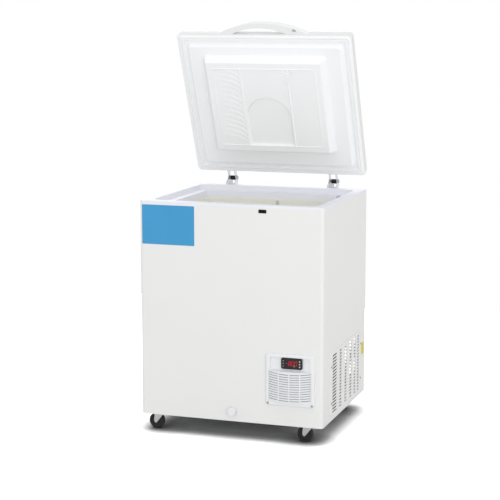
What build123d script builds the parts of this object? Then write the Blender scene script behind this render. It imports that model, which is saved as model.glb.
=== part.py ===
from build123d import *
import os

# A chest ultra low temperature freezer on four swivel casters, with its lid held open.
# Millimetres, +Z up, -Y is the front. The origin is on the floor under the cabinet's centre.

# Cabinet
width = 720.0
depth = 615.0
skirt_z = 68.0  # lower edge of the steel walls above the floor
base_z = 86.0  # underside of the base pan, inside the skirt
joint_z = 880.0  # upper edge of the steel walls, where the collar sits
sheet = 1.0  # steel sheet of the walls, back and bay
front_corner_r = 14.0
rear_flange = 18.0
pan_sheet = 1.5
pan_flange = 22.0

# Collar round the mouth, with one step for the lid's plug
collar_lip = 9.0
collar_wall = 4.0
collar_land = 36.0  # flat top that the gasket lands on
collar_step = 20.0  # from the flat top down to the ledge
collar_ledge_inset = 72.0  # from the cabinet's side to the throat, at the ledge
collar_deep = 44.0  # from the flat top down to the tub
collar_draft = 5.0
collar_edge_r = 4.0
mouth_corner_r = 26.0
clip_y = 3.0
clip_long = 34.0
clip_in = 5.0  # from the land's inner edge into the mouth
clip_over = 1.4  # from the same edge over the land
clip_high = 5.4
clip_drop = 8.0

# Inner tub
tub_wall = 1.2
tub_inset = 79.0  # from the cabinet's side to the tub's inner face
tub_floor_z = 168.0
tub_corner_r = 22.0
hump_top_z = 440.0  # tub's floor over the machine bay
hump_inset = 298.0  # from the cabinet's right side to the tub's face of the hump

# Machine bay, at the right end under the hump
bay_inset = 226.0  # from the cabinet's right side to the bay's inner wall
bay_top_z = 366.0

# Evaporator tube, pressed flat and wound round the tub
coil_tube = 8.0
coil_turns = 7
coil_first_z = 470.0
coil_pitch = 46.0

# Lid, given as it lies closed
lid_width = 708.0
lid_depth = 607.0
lid_back_inset = 4.0
lid_rise = 40.0
lid_corner_r = 16.0
lid_edge_r = 13.0
lid_sheet = 1.2
lid_open_deg = 66.5
gasket_rise = 6.0
gasket_inset = 10.0
gasket_wide = 18.0
rest_gap = 0.4  # the closed gasket's clearance over the collar

# The lid's moulded inner side: a low plug, a raised panel on it, and its relief
lining = 2.0
plug_inset = 36.0
plug_rise = 16.0
plug_draft = 12.0
panel_half_wide = 250.0
panel_back = 107.0  # from the lid's back edge
panel_front = 81.0  # from the lid's free edge
panel_rise = 35.0
panel_draft = 18.0
relief_inset = 22.0
relief_bead = 4.0
relief_high = 1.6
rib_x = 96.0
rib_wide = 7.0
niche_half_wide = 90.0
niche_deep = 7.0
niche_tall = 214.0

# Handle on the lid's free edge
handle_span = 372.0
handle_reach = 48.0
handle_thick = 20.0
handle_low = 4.0  # above the lid's lower edge
handle_gap_left = 123.0
handle_gap_right = 92.0
handle_gap_reach = 24.0
handle_edge_r = 5.0

# Lock in the handle's right foot and its catch on the cabinet
lock_from_end = 60.0  # from the handle's right end
lock_out = 15.0
lock_r = 5.0
lock_clear = 0.3
lock_flange = 1.5
lock_flange_over = 1.2  # beyond the barrel, all round
tongue_long = 9.0
tongue_wide = 7.0
tongue_thick = 2.5
catch_z = 867.0
catch_wide = 26.0
catch_high = 9.0
catch_deep = 16.0
catch_wall = 1.4
catch_flange = 2.2

# Hinges behind the cabinet
hinge_inset = 145.0  # from the cabinet's sides
pivot_back = 38.0  # behind the cabinet
pivot_over = 22.0  # above the collar
pin_r = 4.0
pin_clear = 0.05
base_wide = 38.0
arm_wide = 30.0
hinge_plate = 2.0
base_drop = 118.0  # bracket's foot below the pivot
eye_r = 11.0
spring_r = 8.2
spring_wire_r = 1.3
spring_turns = 7

# Control bezel and its bowed air grille, low on the front
bezel_inset = 124.0  # from the cabinet's right side to its middle
bezel_z = 243.5
bezel_wide = 186.0
bezel_tall = 194.0
bezel_proud = 10.0
bezel_r = 9.0
spigot_inset = 12.0
spigot_deep = 14.0
recess_top = 330.0
recess_low = 281.0
recess_wide = 154.0
recess_deep = 6.0
louvre_wide = 165.0
louvre_top = 279.0
louvre_low = 161.0
louvre_bow = 13.0
louvre_wall = 2.5
louvre_rows = 12
louvre_pitch = 9.0
louvre_slot = 2.9
louvre_bars = 3
louvre_bar = 4.5
louvre_edge = 2.2
louvre_tilt = 25.0
screw_r = 2.0
screw_head_r = 4.2
screw_head = 2.4
screw_clear = 0.1

# Temperature controller
controller_off = 7.0  # to the right of the bezel's middle
controller_z = 308.0
controller_wide = 81.0
controller_tall = 41.0
controller_proud = 9.0
controller_body_deep = 58.0
controller_r = 6.0
window_wide = 46.0
window_tall = 23.0
window_thick = 1.6
key_r = 2.6
key_clear = 0.3
key_long = 3.0
key_proud = 0.8
key_travel = 0.6
key_pitch = 10.0
key_out = 31.5  # from the controller's middle

# Side grille of the machine bay
grille_y = 15.0
grille_low = 84.0
grille_top = 332.0
grille_long = 446.0
grille_proud = 3.0
grille_r = 20.0
grille_rows = 19
grille_pitch = 12.0
grille_slot = 5.0
grille_tilt = -20.0  # the slots fall towards the inside
grille_columns = ((-170.0, 58.0), (-86.0, 28.0), (-12.0, 28.0), (62.0, 28.0), (124.0, 24.0), (176.0, 24.0))

# Sensor tube on the tub's back wall
probe_x = 14.0
probe_r = 4.0
probe_long = 184.0
probe_below = 6.0  # below the tub's edge
probe_clips = (150.0, 40.0)  # below the tub's edge

# Drain, low on the front
drain_x = 8.0
drain_z = 106.0
drain_tube_r = 9.0
drain_wall = 1.5
spout_long = 9.0
drain_collar_r = 13.0
cap_r = 16.5
cap_long = 14.0
cap_wall = 2.0
cap_clear = 0.3

# Casters
wheel_r = 30.0
wheel_wide = 22.0
caster_inset_x = 62.0
caster_inset_y = 56.0
trail = 20.0
caster_plate = 56.0
caster_plate_thick = 2.5
race_r = 19.0
race_tall = 7.0
race_gap = 0.5
kingpin_r = 5.0
kingpin_clear = 0.08
fork_sheet = 2.5
fork_gap = 1.5
axle_r = 3.5
axle_clear = 0.08
bolt_pitch = 40.0
bolt_r = 2.5
bolt_head_r = 4.5
bolt_head = 2.0

# Cooling machinery
compressor_inset = 146.0  # from the cabinet's right side
compressor_y = 190.0
compressor_long = 176.0
compressor_wide = 132.0
compressor_tall = 176.0
foot_long = 196.0
foot_wide = 120.0
foot_thick = 3.0
grommet_tall = 14.0
grommet_r = 11.0
condenser_inset = 34.0  # from the cabinet's right side
condenser_y = -62.0
condenser_long = 236.0
condenser_tall = 226.0
condenser_deep = 38.0
condenser_low = 96.0
fin_count = 14
fin_thick = 1.0
fin_row_pitch = 25.0
pipe_r = 4.0
fan_r = 92.0
fan_blades = 5
fan_thick = 20.0
fan_gap = 4.0
shroud_thick = 2.0
shroud_deep = 26.0
motor_r = 30.0
motor_long = 44.0
shaft_r = 4.0

# Worked out from the sizes above
front = -depth / 2
back = depth / 2
right = width / 2
rim_z = joint_z + collar_lip
ledge_z = rim_z - collar_step
lid_z = rim_z + gasket_rise
lid_back = back - lid_back_inset
lid_front = lid_back - lid_depth
pivot_y = back + pivot_back
pivot_z = rim_z + pivot_over
pan_top = base_z + pan_sheet
tub_top = rim_z - collar_deep
rear_opening = width - 2 * sheet - 2 * rear_flange
hump_x = right - hump_inset
bay_x = right - bay_inset
lock_x = handle_span / 2 - lock_from_end
hinge_x = right - hinge_inset
bezel_x = right - bezel_inset
controller_x = bezel_x + controller_off
compressor_x = right - compressor_inset
condenser_x = right - condenser_inset
face_y = front - bezel_proud - controller_proud + recess_deep
corners = [(sx, sy) for sy in (-1, 1) for sx in (-1, 1)]


def slab(size_x, size_y, low, high, radius, x=0.0, y=0.0):
    """A block with rounded upright edges, from low to high."""
    return extrude(Pos(x, y, low) * RectangleRounded(size_x, size_y, radius), high - low)


def box(x0, x1, y0, y1, z0, z1):
    """A plain block between two corners."""
    return Pos((x0 + x1) / 2, (y0 + y1) / 2, (z0 + z1) / 2) * Box(x1 - x0, y1 - y0, z1 - z0)


def drum(radius, start, end, at, axis="Z"):
    """A cylinder about an axis through at, from start to end along that axis."""
    turn = {"X": Rot(0, 90, 0), "Y": Rot(-90, 0, 0), "Z": Rot(0, 0, 0)}[axis]
    middle = (start + end) / 2
    x, y, z = at
    place = {"X": Pos(middle, y, z), "Y": Pos(x, middle, z), "Z": Pos(x, y, middle)}[axis]
    return place * turn * Cylinder(radius, end - start)


def frustum(low_x, low_y, low_z, high_x, high_y, high_z, low_r, high_r, y=0.0):
    """A tapered block between two rounded rectangles given by their full sizes."""
    low = Pos(0, y, low_z) * RectangleRounded(low_x, low_y, low_r)
    high = Pos(0, y, high_z) * RectangleRounded(high_x, high_y, high_r)
    return loft([low.face(), high.face()])


def plan(inset, z, reach=back - sheet):
    """The cabinet seen from above, drawn in by inset, with rounded front corners."""
    face = Pos(0, (front + reach) / 2, z) * Rectangle(width - 2 * inset, reach - front - 2 * inset)
    radius = front_corner_r - inset
    return fillet(face.vertices().group_by(Axis.Y)[0], radius) if radius > sheet else face


def mitred_runs(ring, low, high):
    """A ring round the cabinet between two heights, cut into straight runs at its corners."""
    reach = tub_inset + 2 * tub_corner_r
    sides = [
        [(-right, front), (right, front), (right - reach, front + reach), (-right + reach, front + reach)],
        [(right, back), (-right, back), (-right + reach, back - reach), (right - reach, back - reach)],
        [(-right, back), (-right, front), (-right + reach, front + reach), (-right + reach, back - reach)],
        [(right, front), (right, back), (right - reach, back - reach), (right - reach, front + reach)],
    ]
    runs = [ring & extrude(Pos(0, 0, low) * make_face(Polyline(*side, close=True)), high - low) for side in sides]
    return [run for run in runs if run and run.solids()]


def front_plate(wide, tall, radius, x, z, y0, y1):
    """A plate that stands parallel to the cabinet's front, from y0 back to y1."""
    face = Plane(origin=(x, y1, z), x_dir=(1, 0, 0), z_dir=(0, -1, 0)) * RectangleRounded(wide, tall, radius)
    return extrude(face, y1 - y0)


def side_plate(long, tall, radius, y, z, x0, x1):
    """A plate that stands parallel to the cabinet's right side, from x0 out to x1."""
    face = Plane(origin=(x0, y, z), x_dir=(0, 1, 0), z_dir=(1, 0, 0)) * RectangleRounded(long, tall, radius)
    return extrude(face, x1 - x0)


def opened(piece):
    """A lid piece, modelled closed, turned about the hinge line to where it is held open."""
    return piece.rotate(Axis((0, pivot_y, pivot_z), (-1, 0, 0)), lid_open_deg)


# Cabinet


def bezel_aperture(clear=0.0):
    wide = bezel_wide - 2 * spigot_inset + 2 * clear
    tall = bezel_tall - 2 * spigot_inset + 2 * clear
    return front_plate(wide, tall, bezel_r / 2, bezel_x, bezel_z, front - sheet, front + spigot_deep)


def grille_middle():
    return (grille_low + grille_top) / 2


def grille_spigot(x1, clear=0.0):
    wide = grille_long - 2 * spigot_inset + 2 * clear
    tall = grille_top - grille_low - 2 * spigot_inset + 2 * clear
    return side_plate(wide, tall, grille_r / 2, grille_y, grille_middle(), right - spigot_deep, x1)


def bezel_screw_places():
    return [(bezel_x + s * (bezel_wide / 2 - 8), bezel_z - bezel_tall / 2 + 7) for s in (-1, 1)]


def grille_screw_places():
    off_y, off_z = grille_long / 2 - 7, 70
    return [(grille_y + sy * off_y, grille_middle() + sz * off_z) for sy, sz in corners]


def outer_shell():
    tall = joint_z - skirt_z
    wall = extrude(plan(0, skirt_z), tall) - extrude(plan(sheet, skirt_z), tall)
    wall -= box(-rear_opening / 2, rear_opening / 2, back - 3 * sheet, back, skirt_z, joint_z)
    wall -= bezel_aperture()
    wall -= grille_spigot(right + sheet)
    wall -= drum(drain_collar_r, front - sheet, front + 2 * sheet, (drain_x, 0, drain_z), "Y")
    wall -= box(lock_x - catch_wide / 2, lock_x + catch_wide / 2, front - sheet, front + 2 * sheet,
                catch_z - catch_high / 2, catch_z + catch_high / 2)
    for x, z in bezel_screw_places():
        wall -= drum(screw_r + screw_clear, front - sheet, front + 2 * sheet, (x, 0, z), "Y")
    for y, z in grille_screw_places():
        wall -= drum(screw_r + screw_clear, right - 2 * sheet, right + sheet, (0, y, z), "X")
    return wall


def back_vents():
    """Rows of slots in the back panel behind the machine bay."""
    slot_long, slot_high, pitch, rows = 60, 6, 14, 12
    middle = (bay_x + right) / 2
    slots = [
        Plane(origin=(middle + side * 42, back - 2 * sheet, pan_top + 50 + row * pitch), x_dir=(1, 0, 0),
              z_dir=(0, 1, 0)) * SlotOverall(slot_long, slot_high)
        for row in range(rows)
        for side in (-1, 1)
    ]
    return [extrude(slot, 4 * sheet) for slot in slots]


def gland_place():
    return (bay_x + 34, 0, pan_top + pan_flange + 24)


def back_panel():
    panel = box(-right + sheet, right - sheet, back - sheet, back, skirt_z, joint_z)
    for slot in back_vents():
        panel -= slot
    return panel - drum(11, back - 3 * sheet, back + sheet, gland_place(), "Y")


def caster_places():
    return [(sx * (right - caster_inset_x), sy * (depth / 2 - caster_inset_y)) for sx, sy in corners]


def caster_bolt_places(x, y):
    return [(x + sx * bolt_pitch / 2, y + sy * bolt_pitch / 2) for sx, sy in corners]


def pan_tray():
    """The base pan before its holes: a floor and an upturned flange inside the steel walls."""
    outer = extrude(plan(sheet, base_z), pan_sheet + pan_flange)
    return outer - extrude(plan(sheet + pan_sheet, pan_top), pan_flange + sheet)


def base_pan():
    pan = pan_tray()
    for x, y in caster_places():
        for bx, by in caster_bolt_places(x, y):
            pan -= drum(bolt_r + screw_clear, base_z - sheet, pan_top + sheet, (bx, by, 0))
    for row in range(-4, 5):
        y = condenser_y + row * 16
        pan -= box(bay_x + 40, right - 60, y - 3.5, y + 3.5, base_z - sheet, pan_top + sheet)
    pan -= drum(drain_collar_r + 1, front, front + 10, (drain_x, 0, drain_z), "Y")
    return pan - grille_spigot(right, 1.0)


def shell_inside(low, high):
    """The space inside the steel walls and back between two heights."""
    space = extrude(plan(sheet, low), high - low)
    return space + box(-rear_opening / 2, rear_opening / 2, back - 3 * sheet, back - sheet, low, high)


def bay_partition():
    """Bent sheet that closes the machine bay off from the foam."""
    y0, y1 = front + sheet, back - 2 * sheet
    wall = box(bay_x - sheet, bay_x, y0, y1, pan_top, bay_top_z + sheet)
    wall += box(bay_x - sheet, right - sheet, y0, y1, bay_top_z, bay_top_z + sheet)
    return (wall & shell_inside(pan_top, joint_z)) - pan_tray()


def tub_block(grow, top):
    """The tub's cavity, or its outside when grown by the wall."""
    long_x, long_y = width - 2 * tub_inset + 2 * grow, depth - 2 * tub_inset + 2 * grow
    block = slab(long_x, long_y, tub_floor_z - grow, top, tub_corner_r + grow)
    hump = box(hump_x + grow, right, front, back, 0, hump_top_z - grow)
    return block - hump


def tub():
    """Folded from coated sheets: the walls, the two floors and the upright face between them."""
    shell = tub_block(tub_wall, tub_top) - tub_block(0, tub_top + 1)
    shell -= drum(drain_tube_r, tub_floor_z - 5, tub_floor_z + 5, drain_inlet())
    face_x = hump_x + tub_wall
    low_walls = shell & box(-right, hump_x, front, back, tub_floor_z, hump_top_z)
    sheets = mitred_runs(low_walls, tub_floor_z, hump_top_z) + mitred_runs(shell, hump_top_z, tub_top)
    sheets.append(shell & box(-right, face_x, front, back, tub_floor_z - tub_wall, tub_floor_z))
    sheets.append(shell & box(face_x, right, front, back, hump_top_z - tub_wall, hump_top_z))
    sheets.append(shell & box(hump_x, face_x, front, back, tub_floor_z, hump_top_z))
    return Compound(children=[solid for sheet_part in sheets for solid in sheet_part.solids()])


def collar_form(grow, low_trim):
    """The mouth's inner form, or the collar's hidden side when grown by its wall."""
    def size(inset):
        return width - 2 * (inset - grow), depth - 2 * (inset - grow)

    lip_x, lip_y = size(collar_land)
    step_x, step_y = size(collar_land + collar_draft)
    throat_x, throat_y = size(collar_ledge_inset)
    low_x, low_y = size(tub_inset)
    ledge = ledge_z - grow
    upper = frustum(step_x, step_y, ledge, lip_x, lip_y, rim_z + low_trim,
                    mouth_corner_r + 8 + grow, mouth_corner_r + 10 + grow)
    lower = frustum(low_x, low_y, tub_top - low_trim, throat_x, throat_y, ledge,
                    tub_corner_r + grow, mouth_corner_r + grow)
    return upper + lower


def rim_collar():
    """Upper and lower strips round the mouth, mitred at the corners."""
    lip = extrude(plan(0, joint_z, back), collar_lip)
    lip = fillet(lip.edges().group_by(Axis.Z)[-1], collar_edge_r)
    hidden = collar_form(collar_wall, 0) & box(-width, width, -depth, depth, 0, joint_z)
    ring = lip + hidden - collar_form(0, 1)
    strips = mitred_runs(ring, ledge_z, rim_z) + mitred_runs(ring, tub_top, ledge_z)
    return Compound(children=[solid for strip in strips for solid in strip.solids()])


def collar_clip():
    """Small fitting hooked over the inner edge of the collar's right side."""
    edge_x = right - collar_land
    top = box(edge_x - clip_in, edge_x + clip_over, clip_y, clip_y + clip_long, rim_z - clip_drop, rim_z + clip_high)
    top = chamfer(top.edges().group_by(Axis.Z)[-1], 0.8)
    return top - (extrude(plan(0, joint_z, back), collar_lip) - collar_form(0, 1))


def coil_ring(z):
    long_x = width - 2 * tub_inset + 2 * tub_wall
    long_y = depth - 2 * tub_inset + 2 * tub_wall
    radius = tub_corner_r + tub_wall
    outer = slab(long_x + 2 * coil_tube, long_y + 2 * coil_tube, z, z + coil_tube, radius + coil_tube)
    return outer - slab(long_x, long_y, z, z + coil_tube, radius)


def evaporator_coil():
    """Flat-pressed tube in rings round the tub, joined by risers at the left wall."""
    x1 = -width / 2 + tub_inset - tub_wall
    coil = coil_ring(coil_first_z)
    for turn in range(1, coil_turns):
        z = coil_first_z + turn * coil_pitch
        side = 1 if turn % 2 else -1
        coil += coil_ring(z)
        coil += box(x1 - coil_tube, x1, side * 40 - coil_tube / 2, side * 40 + coil_tube / 2,
                    z - coil_pitch + coil_tube / 2, z + coil_tube / 2)
    return coil


def drain_inlet():
    return (drain_x, front + tub_inset + 40, 0)


def drain_tube():
    """From the tub's floor down and forward to a spout in the front."""
    x, y, _ = drain_inlet()
    path = FilletPolyline((x, y, tub_floor_z - tub_wall), (x, y, drain_z), (x, front - spout_long, drain_z), radius=26)
    start = Plane(origin=path @ 0, z_dir=path % 0)
    tube = sweep(start * Circle(drain_tube_r), path) - sweep(start * Circle(drain_tube_r - drain_wall), path)
    flange = drum(drain_collar_r, front - 1.5, front + 2, (x, 0, drain_z), "Y")
    return tube + (flange - drum(drain_tube_r - drain_wall, front - 2, front + 3, (x, 0, drain_z), "Y"))


def drain_space():
    x, y, _ = drain_inlet()
    path = FilletPolyline((x, y, tub_floor_z), (x, y, drain_z), (x, front, drain_z), radius=26)
    start = Plane(origin=path @ 0, z_dir=path % 0)
    return sweep(start * Circle(drain_tube_r), path) + drum(drain_collar_r, front, front + 2, (x, 0, drain_z), "Y")


def catch_cup(grow):
    return box(lock_x - catch_wide / 2 + catch_wall - grow, lock_x + catch_wide / 2 - catch_wall + grow,
               front - 2, front + catch_deep - catch_wall + grow,
               catch_z - catch_high / 2 + catch_wall - grow, catch_z + catch_high / 2 - catch_wall + grow)


def latch_catch():
    flange = front_plate(catch_wide + 2 * catch_flange, catch_high + 2 * catch_flange, 2, lock_x, catch_z,
                         front - 1, front)
    cup = catch_cup(catch_wall) & box(-width, width, front - 1, back, 0, joint_z)
    return flange + cup - catch_cup(0)


def insulation():
    """Foam between the walls and the tub, clear of the bay and of what lies in it."""
    foam = shell_inside(pan_top, joint_z) - pan_tray()
    foam -= box(bay_x - sheet, width, front, back, 0, bay_top_z + sheet)
    foam -= tub_block(tub_wall, joint_z + 1)
    foam -= collar_form(collar_wall, 0)
    for hollow in (evaporator_coil(), drain_space(), catch_cup(catch_wall)):
        foam -= hollow
    for x, y in caster_places():
        for bx, by in caster_bolt_places(x, y):
            foam -= drum(bolt_head_r, pan_top, pan_top + bolt_head, (bx, by, 0))
    return foam


def probe_place():
    return (probe_x, back - tub_inset - probe_r - 1, 0)


def probe_tube():
    top = tub_top - probe_below
    return drum(probe_r, top - probe_long, top, probe_place())


def temperature_probe():
    """Sensor tube on the tub's back wall, held by two saddle clips."""
    x, y, _ = probe_place()
    wall_y = back - tub_inset
    probe = probe_tube()
    for below in probe_clips:
        z = tub_top - below
        probe += box(x - probe_r - 3, x + probe_r + 3, y - probe_r - 1, wall_y, z, z + 8) - drum(
            probe_r, z - 1, z + 9, (x, y, 0))
    return probe


# Front controls


def control_bezel():
    bezel = front_plate(bezel_wide, bezel_tall, bezel_r, bezel_x, bezel_z, front - bezel_proud, front)
    bezel = fillet(bezel.faces().sort_by(Axis.Y)[0].edges(), 4)
    spigot = bezel_aperture(-0.3) & box(-width, width, front, back, 0, joint_z)
    hollow = front_plate(bezel_wide - 2 * spigot_inset - 6, bezel_tall - 2 * spigot_inset - 6, 2, bezel_x, bezel_z,
                         front - bezel_proud + 3, front + spigot_deep + 1)
    recess_z = (recess_top + recess_low) / 2
    pocket = front_plate(recess_wide, recess_top - recess_low, 5, bezel_x, recess_z, front - bezel_proud - 1,
                         front - bezel_proud + recess_deep)
    backing = front_plate(recess_wide + 4, recess_top - recess_low + 4, 6, bezel_x, recess_z, front - bezel_proud,
                          front - bezel_proud + recess_deep + 2.5)
    bezel = bezel + spigot - hollow + backing - pocket
    bezel -= front_plate(louvre_wide, louvre_top - louvre_low, 0.4, bezel_x, (louvre_top + louvre_low) / 2,
                         front - 2 * bezel_proud, front + 2 * spigot_deep)
    bezel -= front_plate(controller_wide - 8, controller_tall - 8, 2, controller_x, controller_z,
                         front - 2 * bezel_proud, front + 2 * spigot_deep)
    for x, z in bezel_screw_places():
        bezel -= drum(screw_r + screw_clear, front - 2 * bezel_proud, front + 1, (x, 0, z), "Y")
        bezel -= drum(screw_head_r + 0.5, front - 2 * bezel_proud, front - bezel_proud + screw_head, (x, 0, z), "Y")
    return bezel


def bow_radius():
    half = louvre_wide / 2 - 0.5
    return (half * half + louvre_bow * louvre_bow) / (2 * louvre_bow)


def bow_solid(shrink):
    """The bowed body of the air grille, a slice of an upright cylinder."""
    radius = bow_radius() - shrink
    centre_y = front - bezel_proud - louvre_bow + bow_radius()
    body = drum(radius, louvre_low + 0.5 + shrink, louvre_top - 0.5 - shrink, (bezel_x, centre_y, 0))
    half = louvre_wide / 2 - 0.5 - shrink
    return body & box(bezel_x - half, bezel_x + half, front - 4 * bezel_proud, front, 0, joint_z)


def vent_louvre():
    """Bowed grille with sloping air slots between three upright bars."""
    grille = bow_solid(0) - bow_solid(louvre_wall) - box(
        bezel_x - louvre_wide / 2 + 3, bezel_x + louvre_wide / 2 - 3, front - 4, front + 9, louvre_low + 3, louvre_top - 3)
    clear_wide = louvre_wide - 2 * louvre_edge - louvre_bars * louvre_bar
    slot_wide = clear_wide / (louvre_bars + 1)
    first_x = bezel_x - louvre_wide / 2 + louvre_edge + slot_wide / 2
    first_z = (louvre_top + louvre_low) / 2 - (louvre_rows - 1) * louvre_pitch / 2
    slots = [
        Pos(first_x + column * (slot_wide + louvre_bar), front - bezel_proud - louvre_bow / 2,
            first_z + row * louvre_pitch) * Rot(louvre_tilt, 0, 0) * Box(slot_wide, 5 * bezel_proud, louvre_slot)
        for row in range(louvre_rows)
        for column in range(louvre_bars + 1)
    ]
    return grille - slots


def key_places():
    return [(controller_x + side * key_out, controller_z + row * key_pitch) for side in (-1, 1) for row in (-1, 0, 1)]


def controller_body():
    seat_y = front - bezel_proud + recess_deep
    body = front_plate(controller_wide, controller_tall, controller_r, controller_x, controller_z, face_y, seat_y)
    body = fillet(body.faces().sort_by(Axis.Y)[0].edges(), 2.5)
    body += front_plate(controller_wide - 9, controller_tall - 9, 2, controller_x, controller_z, seat_y,
                        seat_y + controller_body_deep)
    body -= front_plate(window_wide, window_tall, 2, controller_x, controller_z, face_y - 1, face_y + window_thick)
    for x, z in key_places():
        body -= drum(key_r + key_clear, face_y - 1, face_y + key_long + key_travel, (x, 0, z), "Y")
    return body


def display_window():
    return front_plate(window_wide, window_tall, 2, controller_x, controller_z, face_y + 0.3, face_y + window_thick)


def controller_key(x, z):
    key = drum(key_r, face_y - key_proud, face_y + key_long - key_proud, (x, 0, z), "Y")
    return fillet(key.edges().group_by(Axis.Y)[0], 0.5)


def side_grille():
    """Louvred cover of the machine bay, screwed to the right side."""
    tall = grille_top - grille_low
    plate = side_plate(grille_long, tall, grille_r, grille_y, grille_middle(), right, right + grille_proud)
    plate = fillet(plate.faces().sort_by(Axis.X)[-1].edges(), 2)
    plate += grille_spigot(right, -0.3) - side_plate(
        grille_long - 2 * spigot_inset - 5, tall - 2 * spigot_inset - 5, 6, grille_y, grille_middle(),
        right - spigot_deep - 1, right)
    first_z = grille_middle() - (grille_rows - 1) * grille_pitch / 2
    slots = [
        Pos(right + grille_proud / 2, grille_y + off, first_z + row * grille_pitch) * Rot(0, grille_tilt, 0) *
        Box(4 * grille_proud, long, grille_slot)
        for off, long in grille_columns
        for row in range(grille_rows)
    ]
    plate -= slots
    for y, z in grille_screw_places():
        plate -= drum(screw_r + screw_clear, right - sheet, right + 2 * grille_proud, (0, y, z), "X")
    return plate


def screw(x, y, z, axis, outward, long):
    """A pan-head screw with a cross slot, its head's seat at x, y, z."""
    head = Cylinder(screw_head_r, screw_head, align=(Align.CENTER, Align.CENTER, Align.MIN))
    head = fillet(head.edges().group_by(Axis.Z)[-1], 1.4)
    cross = Pos(0, 0, screw_head) * (Box(4.2, 0.9, 1.6) + Box(0.9, 4.2, 1.6))
    shank = Cylinder(screw_r, long, align=(Align.CENTER, Align.CENTER, Align.MAX))
    turn = {"Y": Rot(-90 * outward, 0, 0), "X": Rot(0, 90 * outward, 0)}[axis]
    return Pos(x, y, z) * turn * (head - cross + shank)


def cabinet_screws():
    group = [screw(x, front - bezel_proud + screw_head, z, "Y", -1, bezel_proud) for x, z in bezel_screw_places()]
    group += [screw(right + grille_proud, y, z, "X", 1, 6) for y, z in grille_screw_places()]
    group += [screw(x, back + hinge_plate, z, "Y", 1, hinge_plate) for x, z in hinge_screw_places()]
    return Compound(children=group)


# Hinges


def hinge_screw_places():
    return [(s * hinge_x + t * 10, pivot_z - base_drop + drop) for s in (-1, 1) for t in (-1, 1) for drop in (12, 40)]


def side_profile(points, x, thick):
    """A flat cheek cut to an outline of y, z points, from x to x + thick."""
    outline = Polyline(*[(y, z) for y, z in points], close=True)
    face = Plane(origin=(x, 0, 0), x_dir=(0, 1, 0), z_dir=(1, 0, 0)) * make_face(outline)
    return extrude(face, thick)


def hinge_base(x):
    """Channel bracket on the back, with two cheeks that carry the pin."""
    low, web_top = pivot_z - base_drop, rim_z + 3
    web = box(x - base_wide / 2, x + base_wide / 2, back, back + hinge_plate, low, web_top)
    web += box(x - 11, x + 11, back, back + hinge_plate, web_top, pivot_z - 4)
    bracket = web
    outline = [(back, low + 50), (back, web_top), (pivot_y - eye_r, pivot_z), (pivot_y, pivot_z + eye_r * 0.7),
               (pivot_y + eye_r, pivot_z), (pivot_y + eye_r - 1, pivot_z - 14)]
    for side in (-1, 1):
        edge = x + side * base_wide / 2
        start = edge - hinge_plate if side > 0 else edge
        cheek = side_profile(outline, start, hinge_plate) + drum(
            eye_r, start, start + hinge_plate, (0, pivot_y, pivot_z), "X")
        bracket += cheek
    bracket -= drum(pin_r + pin_clear, x - base_wide, x + base_wide, (0, pivot_y, pivot_z), "X")
    for sx, sz in hinge_screw_places():
        bracket -= drum(screw_r + screw_clear, back - 1, back + 2 * hinge_plate, (sx, 0, sz), "Y")
    return bracket


def hinge_arm(x):
    """Channel bracket on the lid's back edge, inside the base's cheeks."""
    low, high = lid_z + 1.5, lid_z + lid_rise - lid_edge_r - 0.5
    arm = box(x - arm_wide / 2, x + arm_wide / 2, lid_back, lid_back + hinge_plate, low, high)
    outline = [(lid_back, low), (lid_back, high), (pivot_y, pivot_z + eye_r - 1), (pivot_y, pivot_z - eye_r + 1)]
    for side in (-1, 1):
        edge = x + side * arm_wide / 2
        start = edge - hinge_plate if side > 0 else edge
        arm += side_profile(outline, start, hinge_plate) + drum(
            eye_r - 1, start, start + hinge_plate, (0, pivot_y, pivot_z), "X")
    arm -= drum(pin_r + pin_clear, x - base_wide, x + base_wide, (0, pivot_y, pivot_z), "X")
    return opened(arm)


def hinge_pin(x):
    half = base_wide / 2
    pin = drum(pin_r, x - half - 1, x + half + 1, (0, pivot_y, pivot_z), "X")
    for side in (-1, 1):
        seat = x + side * (half + 0.1)
        pin += drum(pin_r + 2.5, min(seat, seat + side * 2), max(seat, seat + side * 2), (0, pivot_y, pivot_z), "X")
    return pin


def hinge_spring(x):
    """Torsion spring round the pin, its leg resting on the base's tongue."""
    long = spring_turns * spring_wire_r * 2.3
    path = Helix(pitch=long / spring_turns, height=long, radius=spring_r)
    wire = sweep(Plane(origin=path @ 0, z_dir=path % 0) * Circle(spring_wire_r), path, is_frenet=True)
    wire = Pos(x - long / 2, pivot_y, pivot_z) * Rot(0, 90, 0) * wire
    leg = drum(spring_wire_r, back + hinge_plate, pivot_y, (x - long / 2, 0, pivot_z - spring_r), "Y")
    return wire + leg


# Lid, modelled closed and then opened


def lid_block(inset, low, high, edge):
    middle_y = (lid_back + lid_front) / 2
    block = slab(lid_width - 2 * inset, lid_depth - 2 * inset, low, high, lid_corner_r - inset, 0, middle_y)
    return fillet(block.faces().sort_by(Axis.Z)[-1].edges(), edge)


def lid_outer_shell():
    shell = lid_block(0, lid_z, lid_z + lid_rise, lid_edge_r)
    return opened(shell - lid_block(lid_sheet, lid_z - 1, lid_z + lid_rise - lid_sheet, lid_edge_r - lid_sheet))


def plug_form(grow):
    """The low plug under the lid, or its hidden side when grown inwards."""
    y = (lid_back + lid_front) / 2
    base_x, base_y = lid_width - 2 * plug_inset, lid_depth - 2 * plug_inset
    return frustum(base_x - 2 * plug_draft - 2 * grow, base_y - 2 * plug_draft - 2 * grow, lid_z - plug_rise + grow,
                   base_x - 2 * grow, base_y - 2 * grow, lid_z + lining, 18, 24, y)


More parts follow.
